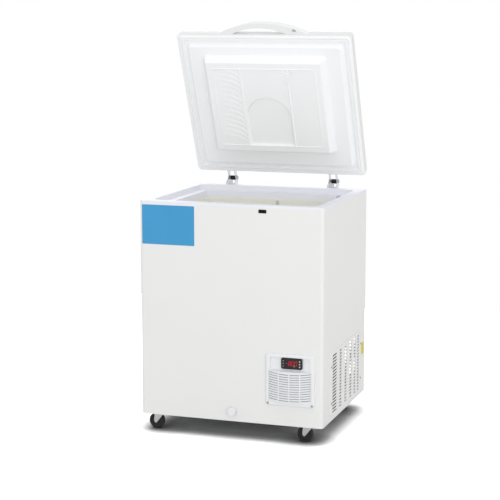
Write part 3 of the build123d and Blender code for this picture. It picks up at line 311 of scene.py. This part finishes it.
def plate(name, half_x, half_z, radius, centre, thick, finish, body, axes="front", soft=0.0):
    """A thin plate with rounded corners, on the cabinet's front or on its right side."""
    outline = rounded_rect(half_x, half_z, radius, 5)
    count = len(outline)
    levels = [(0.0, 0.0), (thick - soft, 0.0), (thick, soft)] if soft else [(0.0, 0.0), (thick, 0.0)]
    verts = []
    for height, inset in levels:
        for a, b in outline:
            shrink_a, shrink_b = 1 - inset / half_x, 1 - inset / half_z
            if axes == "front":
                verts.append((centre[0] + a * shrink_a, centre[1] - height, centre[2] + b * shrink_b))
            else:
                verts.append((centre[0] + height, centre[1] + a * shrink_a, centre[2] + b * shrink_b))
    faces = [tuple(range(count)), tuple(range(len(verts) - count, len(verts)))]
    for level in range(len(levels) - 1):
        for k in range(count):
            low, nxt = level * count, (k + 1) % count
            faces.append((low + k, low + nxt, low + count + nxt, low + count + k))
    return add_split(piece(name, verts, faces, finish, body))


def swept_ring(name, profile, half_x, half_y, radius, middle, finish, body, place, steps=10):
    """A closed profile of (inset, height) points carried round a rounded rectangle."""
    loops = []
    for inset, height in profile:
        outline = rounded_rect(half_x - inset, half_y - inset, max(radius - inset, 0.0015), steps, middle)
        loops.append([(x, y, height) for x, y in outline])
    count = len(loops[0])
    verts = [v for loop in loops for v in loop]
    faces = []
    for a in range(len(loops)):
        b = (a + 1) % len(loops)
        for k in range(count):
            nxt = (k + 1) % count
            faces.append((a * count + k, a * count + nxt, b * count + nxt, b * count + k))
    return add_split(piece(name, verts, faces, finish, body, place=place), SEAL_ANGLE)


# The lid's moulded lining, one skin with soft steps, ribs, an arched pocket and fine relief

PLUG_INSET = 0.036
PLUG_RISE = 0.016
PLUG_DRAFT = 0.012
PLUG_RADIUS = 0.022
PANEL_HALF = 0.250
PANEL_BACK = 0.107
PANEL_FRONT = 0.081
PANEL_RISE = 0.035
PANEL_DRAFT = 0.018
PANEL_RADIUS = 0.014
STEP_ROUND = 0.0012
CURVED_SHARE = 0.45
STRAIGHT_SHARE = 0.55
RELIEF_INSET = 0.022
RELIEF_FADE = 0.004
FOOT_HALF = 0.0018
FOOT_DEEP = 0.0016
BEAD_HALF = 0.0024
BEAD_HIGH = 0.0026
RIB_X = 0.096
RIB_HALF = 0.0042
RIB_HIGH = 0.0036
NICHE_HALF = 0.090
NICHE_TALL = 0.214
NICHE_DEEP = 0.0085
NICHE_RUN = 0.003
NICHE_ROUND = 0.001
NICHE_CLEAR = 0.004
NICHE_MARGIN = 0.002
FROND_HALF = 0.0020
FROND_HIGH = 0.0030
FROND_ROOT = 0.002
FROND_FADE = 0.75
FROND_STEPS = 14
# the large leaf left of the left rib, and the sprigs on both sides of the right rib
LEAF_COUNT = 14
LEAF_LOW = 0.048
LEAF_HIGH = 0.004
LEAF_REACH = 0.094
LEAF_RISE = 0.044
SPRIG_COUNT = 4
SPRIG_LOW = 0.040
SPRIG_HIGH = 0.078
SPRIG_REACH_LEFT = 0.034
SPRIG_REACH_RIGHT = 0.030
SPRIG_RISE = 0.040


def box_distance(x, y, half_x, half_y, radius):
    """Distance inside a rounded rectangle's outline, negative outside it."""
    qx, qy = np.abs(x) - (half_x - radius), np.abs(y) - (half_y - radius)
    outside = np.hypot(np.maximum(qx, 0), np.maximum(qy, 0))
    return radius - outside - np.minimum(np.maximum(qx, qy), 0)


def soft_step(distance, run, round_off):
    """A ramp from 0 to 1 over a run, with foot and shoulder partly rounded."""
    t = np.clip((distance + round_off) / (run + 2 * round_off), 0, 1)
    core = np.clip(distance / run, 0, 1)
    return CURVED_SHARE * (t * t * (3 - 2 * t)) + STRAIGHT_SHARE * core


def ridge(distance, half):
    """A rounded crest, 1 along a line and 0 from a half width on."""
    t = np.clip(1 - np.abs(distance) / half, 0, 1)
    return t * t * (3 - 2 * t)


def frond_lines(x_root, side, y_low, y_high, count, reach, rise):
    """Curved lines that sweep away from a rib like the barbs of a feather."""
    lines = []
    for k in range(count):
        y_root = y_low + (y_high - y_low) * k / max(count - 1, 1)
        points = []
        for step in range(FROND_STEPS + 1):
            t = step / FROND_STEPS
            across = side * reach * (1 - math.cos(t * math.pi / 2))
            along = -rise * math.sin(t * math.pi / 2)
            points.append((x_root + across, y_root + along))
        lines.append(points)
    return lines


def line_distance(x, y, points):
    """Distance to a line of points, and how high the line stands there, lower towards its end."""
    best = np.full(x.shape, 1.0)
    fade = np.ones(x.shape)
    last = len(points) - 1
    for k in range(last):
        ax, ay = points[k]
        dx, dy = points[k + 1][0] - ax, points[k + 1][1] - ay
        t = np.clip(((x - ax) * dx + (y - ay) * dy) / (dx * dx + dy * dy), 0, 1)
        d = np.hypot(x - ax - t * dx, y - ay - t * dy)
        nearer = d < best
        best = np.where(nearer, d, best)
        fade = np.where(nearer, 1 - FROND_FADE * ((k + t) / last) ** 2, fade)
    return best, fade


def lining_height(x, y):
    """Height of the moulding below the lid's flange, for points in the closed lid's plan."""
    mid_y = (LID_BACK + LID_FRONT) / 2
    plug = box_distance(x, y - mid_y, LID_WIDE / 2 - PLUG_INSET, LID_DEEP / 2 - PLUG_INSET, PLUG_RADIUS)
    height = PLUG_RISE * soft_step(plug, PLUG_DRAFT, STEP_ROUND)
    y0, y1 = LID_FRONT + PANEL_FRONT, LID_BACK - PANEL_BACK
    panel = box_distance(x, y - (y0 + y1) / 2, PANEL_HALF, (y1 - y0) / 2, PANEL_RADIUS)
    height = height + PANEL_RISE * soft_step(panel, PANEL_DRAFT, STEP_ROUND)
    height = height - FOOT_DEEP * ridge(panel + FOOT_HALF, FOOT_HALF)
    inner = panel - PANEL_DRAFT - RELIEF_INSET
    height = height + BEAD_HIGH * ridge(inner - BEAD_HALF, BEAD_HALF)
    inside = np.clip(inner / RELIEF_FADE, 0, 1)
    for side in (-1, 1):
        height = height + RIB_HIGH * ridge(x - side * RIB_X, RIB_HALF) * inside
    arch_y = y1 - PANEL_DRAFT - RELIEF_INSET
    spring_y = arch_y - NICHE_TALL + NICHE_HALF
    below = NICHE_HALF - np.hypot(x, np.minimum(y - spring_y, 0))
    niche = np.minimum(below, arch_y - NICHE_CLEAR - y)
    height = height - NICHE_DEEP * soft_step(niche, NICHE_RUN, NICHE_ROUND)
    low, high = y0 + PANEL_DRAFT + RELIEF_INSET, arch_y
    leaf_y = (low + LEAF_LOW, high - LEAF_HIGH)
    sprig_y = (low + SPRIG_LOW, low + SPRIG_HIGH)
    fronds = frond_lines(-RIB_X - FROND_ROOT, -1, *leaf_y, LEAF_COUNT, LEAF_REACH, LEAF_RISE)
    fronds += frond_lines(RIB_X - FROND_ROOT, -1, *sprig_y, SPRIG_COUNT, SPRIG_REACH_LEFT, SPRIG_RISE)
    fronds += frond_lines(RIB_X + FROND_ROOT, 1, *sprig_y, SPRIG_COUNT, SPRIG_REACH_RIGHT, SPRIG_RISE)
    clear_of_niche = inside * np.clip(1 - niche / NICHE_MARGIN, 0, 1)
    relief = np.zeros(x.shape)
    for points in fronds:
        distance, fade = line_distance(x, y, points)
        relief = np.maximum(relief, ridge(distance, FROND_HALF) * fade)
    return height + FROND_HIGH * relief * clear_of_niche


def axis_points(low, high, step, fine, fine_step):
    """Grid lines from low to high, closer together inside the fine spans."""
    points, at = [low], low
    while at < high - 1e-6:
        close = any(a <= at < b for a, b in fine)
        at = min(high, at + (fine_step if close else step))
        points.append(at)
    return np.array(points)


# Grid of the lining: fine where it bends, with its outer edge a little inside the lid's
LINING_EDGE = 0.0014
LINING_CORNER = 0.0146
LINING_ANGLE = math.radians(32)
GRID_X = 0.0024
GRID_Y = 0.0016
FINE_GRID_X = 0.0012
FINE_GRID_Y = 0.0011
RELIEF_SPAN = (-0.215, 0.115)
PANEL_BEFORE = 0.005
PANEL_AFTER = 0.021
PLUG_BEFORE = 0.003
PLUG_AFTER = 0.015


def lid_lining():
    """The lining as one closed skin over a grid, in place of its plain solid."""
    half = LID_WIDE / 2 - LINING_EDGE
    y0, y1 = LID_FRONT + LINING_EDGE, LID_BACK - LINING_EDGE
    panel_x = (-PANEL_HALF - PANEL_BEFORE, -PANEL_HALF + PANEL_AFTER)
    plug_x = (-LID_WIDE / 2 + PLUG_INSET - PLUG_BEFORE, -LID_WIDE / 2 + PLUG_INSET + PLUG_AFTER)
    fine_x = [RELIEF_SPAN, panel_x, plug_x, (-panel_x[1], -panel_x[0]), (-plug_x[1], -plug_x[0])]
    fine_y = [(LID_FRONT + PLUG_INSET - PLUG_BEFORE, LID_FRONT + PLUG_INSET + PLUG_AFTER),
              (LID_BACK - PLUG_INSET - PLUG_AFTER, LID_BACK - PLUG_INSET + PLUG_BEFORE),
              (LID_FRONT + PANEL_FRONT - PANEL_BEFORE, LID_FRONT + PANEL_FRONT + PANEL_AFTER),
              (LID_BACK - PANEL_BACK - PANEL_AFTER, LID_BACK - PANEL_BACK + PANEL_BEFORE)]
    xs = axis_points(-half, half, GRID_X, fine_x, FINE_GRID_X)
    ys = axis_points(y0, y1, GRID_Y, fine_y, FINE_GRID_Y)
    grid_x, grid_y = np.meshgrid(xs, ys)
    mid_y = (y0 + y1) / 2
    # the outermost grid lines are drawn in to the rounded corners
    radius = LINING_CORNER
    over_x = np.clip(np.abs(grid_x) - (half - radius), 0, radius) / radius
    over_y = np.clip(np.abs(grid_y - mid_y) - ((y1 - y0) / 2 - radius), 0, radius) / radius
    pull_x = over_x * (np.sqrt(1 - 0.5 * over_y ** 2) - 1) * radius
    pull_y = over_y * (np.sqrt(1 - 0.5 * over_x ** 2) - 1) * radius
    place_x = grid_x + np.sign(grid_x) * pull_x
    place_y = grid_y + np.sign(grid_y - mid_y) * pull_y
    height = lining_height(grid_x, grid_y)
    rows, columns = grid_x.shape
    place_z = LID_Z - height
    verts = [(place_x[r, c], place_y[r, c], place_z[r, c]) for r in range(rows) for c in range(columns)]
    faces = [(r * columns + c, r * columns + c + 1, (r + 1) * columns + c + 1, (r + 1) * columns + c)
             for r in range(rows - 1) for c in range(columns - 1)]
    rim = list(range(columns)) + [r * columns + columns - 1 for r in range(1, rows)]
    rim += [(rows - 1) * columns + c for c in range(columns - 2, -1, -1)]
    rim += [r * columns for r in range(rows - 2, 0, -1)]
    first = len(verts)
    verts += [(verts[k][0], verts[k][1], LID_Z + LINING) for k in rim]
    count = len(rim)
    for k in range(count):
        nxt = (k + 1) % count
        faces.append((rim[k], rim[nxt], first + nxt, first + k))
    faces.append(tuple(first + k for k in range(count)))
    made = piece("lid_lining_moulding", verts, faces, lining, "lid", place=to_open)
    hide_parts("lid_inner_liner")
    return add_split(made, LINING_ANGLE)


lid_lining()

# The lid's seal: outer strip, groove, wide strip and sloped inner lip, as (inset, height) points
GASKET_INSET = 0.010
GASKET_LOW = RIM_Z + 0.0004
GASKET_TOP = LID_Z + 0.0001
GASKET_CORNER = 0.012
seal_profile = [
    (0.0, GASKET_TOP), (0.0, GASKET_LOW + 0.0024), (0.0005, GASKET_LOW + 0.0012),
    (0.0014, GASKET_LOW + 0.0008), (0.0054, GASKET_LOW + 0.0008), (0.0060, GASKET_LOW + 0.0012),
    (0.0064, GASKET_LOW + 0.0028), (0.0072, GASKET_LOW + 0.0028), (0.0076, GASKET_LOW + 0.0004),
    (0.0084, GASKET_LOW), (0.0158, GASKET_LOW), (0.0166, GASKET_LOW + 0.0005),
    (0.0174, GASKET_LOW + 0.0014), (0.0180, GASKET_LOW + 0.0024), (0.0180, GASKET_TOP),
]
gasket = swept_ring("lid_seal", seal_profile, LID_WIDE / 2 - GASKET_INSET, LID_DEEP / 2 - GASKET_INSET,
                    GASKET_CORNER, (0, (LID_BACK + LID_FRONT) / 2), seal, "lid", to_open)
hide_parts("lid_gasket")

# Plain blue plate and plain yellow patch, where the photographed unit carries labels
BLUE_HALF = (0.1045, 0.0745)
BLUE_AT = (-0.245, FRONT, 0.8000)
YELLOW_HALF = (0.0290, 0.0240)
YELLOW_AT = (RIGHT, 0.2600, 0.2510)
plate("blue_plate", *BLUE_HALF, radius=0.003, centre=BLUE_AT, thick=0.0005, finish=blue, body="cabinet",
      soft=0.0002)
plate("yellow_patch", *YELLOW_HALF, radius=0.002, centre=YELLOW_AT, thick=0.0004, finish=yellow,
      body="cabinet", axes="side", soft=0.0002)

# Filter behind the air grille, bowed as the grille is
FILTER_PARTS = 10
FILTER_RADIUS = 0.262
FILTER_HALF = 0.0775
FILTER_THICK = 0.0015
FILTER_Y = FRONT - 0.0165
FILTER_LOW = 0.1645
FILTER_HIGH = 0.2755


def air_filter():
    """A thin bowed sheet, closed all round."""
    verts = []
    faces = []
    for level in (FILTER_LOW, FILTER_HIGH):
        for depth in (0.0, FILTER_THICK):
            for k in range(FILTER_PARTS + 1):
                x = -FILTER_HALF + 2 * FILTER_HALF * k / FILTER_PARTS
                bow = FILTER_RADIUS - math.sqrt(FILTER_RADIUS ** 2 - x * x)
                verts.append((BEZEL_X + x, FILTER_Y + depth + bow, level))
    row = FILTER_PARTS + 1
    for k in range(FILTER_PARTS):
        faces.append((k, k + 1, 2 * row + k + 1, 2 * row + k))
        faces.append((row + k, row + k + 1, 3 * row + k + 1, 3 * row + k))
        faces.append((k, k + 1, row + k + 1, row + k))
        faces.append((2 * row + k, 2 * row + k + 1, 3 * row + k + 1, 3 * row + k))
    for k in (0, FILTER_PARTS):
        faces.append((k, row + k, 3 * row + k, 2 * row + k))
    piece("air_filter", verts, faces, filter_grey, "cabinet")


air_filter()

# Red digits of the display, slanted seven-segment figures with a point
SEGMENTS = {"8": "abcdefg", "0": "abcdef", "-": "g"}
DIGIT_TALL = 0.0160
DIGIT_WIDE = 0.0082
DIGIT_PITCH = 0.0118
STROKE = 0.0014
SLANT = 0.16
SEGMENT_GAP = 0.0005
MIDDLE_FIGURE = 1.6  # the place in the row that lies on the pane's middle
DIGIT_LIFT = 0.001
POINT_LIFT = 0.0012
FIGURE_THICK = 0.0003
FIGURE_Y = PANEL_FACE + 0.0003
ENDS = {
    "a": ((0, 1), (1, 1)), "b": ((1, 0.5), (1, 1)), "c": ((1, 0), (1, 0.5)), "d": ((0, 0), (1, 0)),
    "e": ((0, 0), (0, 0.5)), "f": ((0, 0.5), (0, 1)), "g": ((0, 0.5), (1, 0.5)),
}


def segment(verts, faces, start, end, origin):
    """One bar of a figure with pointed ends."""
    ax, az = origin[0] + start[0] * DIGIT_WIDE, origin[1] + start[1] * DIGIT_TALL
    bx, bz = origin[0] + end[0] * DIGIT_WIDE, origin[1] + end[1] * DIGIT_TALL
    length = math.hypot(bx - ax, bz - az)
    ux, uz = (bx - ax) / length, (bz - az) / length
    gap, half = SEGMENT_GAP, STROKE / 2
    ax, az, bx, bz = ax + ux * gap, az + uz * gap, bx - ux * gap, bz - uz * gap
    outline = [(ax, az), (ax + ux * half - uz * half, az + uz * half + ux * half),
               (bx - ux * half - uz * half, bz - uz * half + ux * half), (bx, bz),
               (bx - ux * half + uz * half, bz - uz * half - ux * half),
               (ax + ux * half + uz * half, az + uz * half - ux * half)]
    first = len(verts)
    for depth in (0.0, FIGURE_THICK):
        for px, pz in outline:
            verts.append((px + SLANT * (pz - PANEL_Z), FIGURE_Y - depth, pz))
    faces.append(tuple(first + k for k in range(6)))
    faces.append(tuple(first + 6 + k for k in range(6)))
    for k in range(6):
        nxt = (k + 1) % 6
        faces.append((first + k, first + nxt, first + 6 + nxt, first + 6 + k))


def display_digits(figures):
    """The figures in a row, and a small point at their feet."""
    verts = []
    faces = []
    for at, figure in enumerate(figures):
        left = PANEL_X + (at - MIDDLE_FIGURE) * DIGIT_PITCH - DIGIT_WIDE / 2
        origin = (left, PANEL_Z - DIGIT_TALL / 2 + DIGIT_LIFT)
        for bar in SEGMENTS[figure]:
            segment(verts, faces, *ENDS[bar], origin)
    point_x = PANEL_X + DIGIT_PITCH
    point_z = PANEL_Z - DIGIT_TALL / 2 + POINT_LIFT
    first = len(verts)
    for depth in (0.0, FIGURE_THICK):
        for dx, dz in ((-1, -1), (1, -1), (1, 1), (-1, 1)):
            verts.append((point_x + dx * STROKE / 2, FIGURE_Y - depth, point_z + dz * STROKE / 2))
    faces += [(first, first + 1, first + 2, first + 3), (first + 4, first + 5, first + 6, first + 7)]
    faces += [(first + k, first + (k + 1) % 4, first + 4 + (k + 1) % 4, first + 4 + k) for k in range(4)]
    piece("display_digits", verts, faces, red_glow, "cabinet", smooth=False)


display_digits("-800")

# Small green sign of the display
MARK_HALF = (0.0030, 0.0005)
MARK_AT = (PANEL_X + 0.010, FIGURE_Y, PANEL_Z - 0.0098)
plate("status_mark", *MARK_HALF, radius=0.0004, centre=MARK_AT, thick=FIGURE_THICK, finish=green_glow,
      body="cabinet")

# Floor: to the camera it is brighter than what it gives back as light, so it reads white but keeps the shadow
FLOOR_HALF = 2.3
FLOOR_BOUNCE = 0.92
FLOOR_SEEN = 2.9
SHADE_REACH = 0.12
SHADE_POWER = 2.8
floor_mat = bpy.data.materials.new("floor")
floor_mat.use_nodes = True
tree = floor_mat.node_tree
tree.nodes.clear()
out = tree.nodes.new("ShaderNodeOutputMaterial")


def floor_shader(value, shaded_near=False):
    """A diffuse floor, with painted shade where something stands close over it if shaded_near is set."""
    node = tree.nodes.new("ShaderNodeBsdfDiffuse")
    if not shaded_near:
        node.inputs["Color"].default_value = (value, value, value, 1)
    else:
        # painted shade: ambient occlusion darkens the floor's colour near the cabinet, a drawn-in contact
        # shadow
        shut = tree.nodes.new("ShaderNodeAmbientOcclusion")
        shut.samples = 16
        shut.inputs["Distance"].default_value = SHADE_REACH
        deeper = tree.nodes.new("ShaderNodeMath")
        deeper.operation = "POWER"
        deeper.inputs[1].default_value = SHADE_POWER
        toned = tree.nodes.new("ShaderNodeMath")
        toned.operation = "MULTIPLY"
        toned.inputs[1].default_value = value
        tree.links.new(shut.outputs["AO"], deeper.inputs[0])
        tree.links.new(deeper.outputs[0], toned.inputs[0])
        tree.links.new(toned.outputs[0], node.inputs["Color"])
    return node.outputs[0]


seen = tree.nodes.new("ShaderNodeLightPath")
pick = tree.nodes.new("ShaderNodeMixShader")
tree.links.new(seen.outputs["Is Camera Ray"], pick.inputs["Fac"])
tree.links.new(floor_shader(FLOOR_BOUNCE), pick.inputs[1])
tree.links.new(floor_shader(FLOOR_SEEN, True), pick.inputs[2])
tree.links.new(pick.outputs[0], out.inputs["Surface"])

floor_data = bpy.data.meshes.new("floor")
floor_corners = [(sx * FLOOR_HALF, sy * FLOOR_HALF, 0) for sx, sy in ((-1, -1), (1, -1), (1, 1), (-1, 1))]
floor_data.from_pydata(floor_corners, [], [(0, 1, 2, 3)])
floor = bpy.data.objects.new("floor", floor_data)
bpy.context.scene.collection.objects.link(floor)
floor_data.materials.append(floor_mat)

# Surroundings: white to the camera and in reflections, softer as light, and brighter from the right and front
world = bpy.data.worlds.new("studio")
bpy.context.scene.world = world
world.use_nodes = True
tree = world.node_tree
back = tree.nodes["Background"]
back.inputs["Color"].default_value = (1, 1, 1, 1)
WORLD_DIM = 0.42
WORLD_BRIGHT = 0.98
BRIGHT_SIDE = (0.40, -0.91, 0.06)
seen = tree.nodes.new("ShaderNodeLightPath")
around = tree.nodes.new("ShaderNodeTexCoord")
towards = tree.nodes.new("ShaderNodeVectorMath")
towards.operation = "DOT_PRODUCT"
towards.inputs[1].default_value = BRIGHT_SIDE
tree.links.new(around.outputs["Generated"], towards.inputs[0])
light = tree.nodes.new("ShaderNodeMapRange")
light.inputs["From Min"].default_value = -1.0
light.inputs["To Min"].default_value = WORLD_DIM
light.inputs["To Max"].default_value = WORLD_BRIGHT
tree.links.new(towards.outputs["Value"], light.inputs["Value"])
level = tree.nodes.new("ShaderNodeMix")
level.inputs["B"].default_value = 1.0
white = tree.nodes.new("ShaderNodeMath")
white.operation = "MAXIMUM"
tree.links.new(seen.outputs["Is Camera Ray"], white.inputs[0])
tree.links.new(seen.outputs["Is Glossy Ray"], white.inputs[1])
tree.links.new(white.outputs[0], level.inputs["Factor"])
tree.links.new(light.outputs["Result"], level.inputs["A"])
tree.links.new(level.outputs["Result"], back.inputs["Strength"])


def lamp(name, place, target, size, power):
    data = bpy.data.lights.new(name, "AREA")
    data.shape = "RECTANGLE"
    data.size, data.size_y = size
    data.energy = power
    made = bpy.data.objects.new(name, data)
    made.location = place
    made.rotation_euler = (Vector(target) - Vector(place)).to_track_quat("-Z", "Y").to_euler()
    bpy.context.scene.collection.objects.link(made)
    return made


lamp("high", (0.7, -1.5, 4.5), (0, 0, 0.4), (2.4, 2.4), 19)
lamp("low_right", (2.6, -3.6, 1.1), (0, 0, 0.9), (1.8, 1.8), 25)
lamp("behind", (-1.4, 3.6, 2.6), (0, 0.2, 0.8), (2.0, 2.0), 46)

# Camera, fitted to the photograph's corners of the cabinet and lid
CAMERA_AT = (1.8398, -5.5261, 1.5993)
TURN = 18.6536
TILT = -9.0473
LENS = 109.271
camera_data = bpy.data.cameras.new("camera")
camera_data.lens = LENS
camera_data.sensor_width = 36.0
camera = bpy.data.objects.new("camera", camera_data)
camera.location = CAMERA_AT
camera.rotation_euler = (math.radians(90 + TILT), 0, math.radians(TURN))
bpy.context.scene.collection.objects.link(camera)
bpy.context.scene.camera = camera
bpy.context.scene.view_settings.view_transform = "Standard"
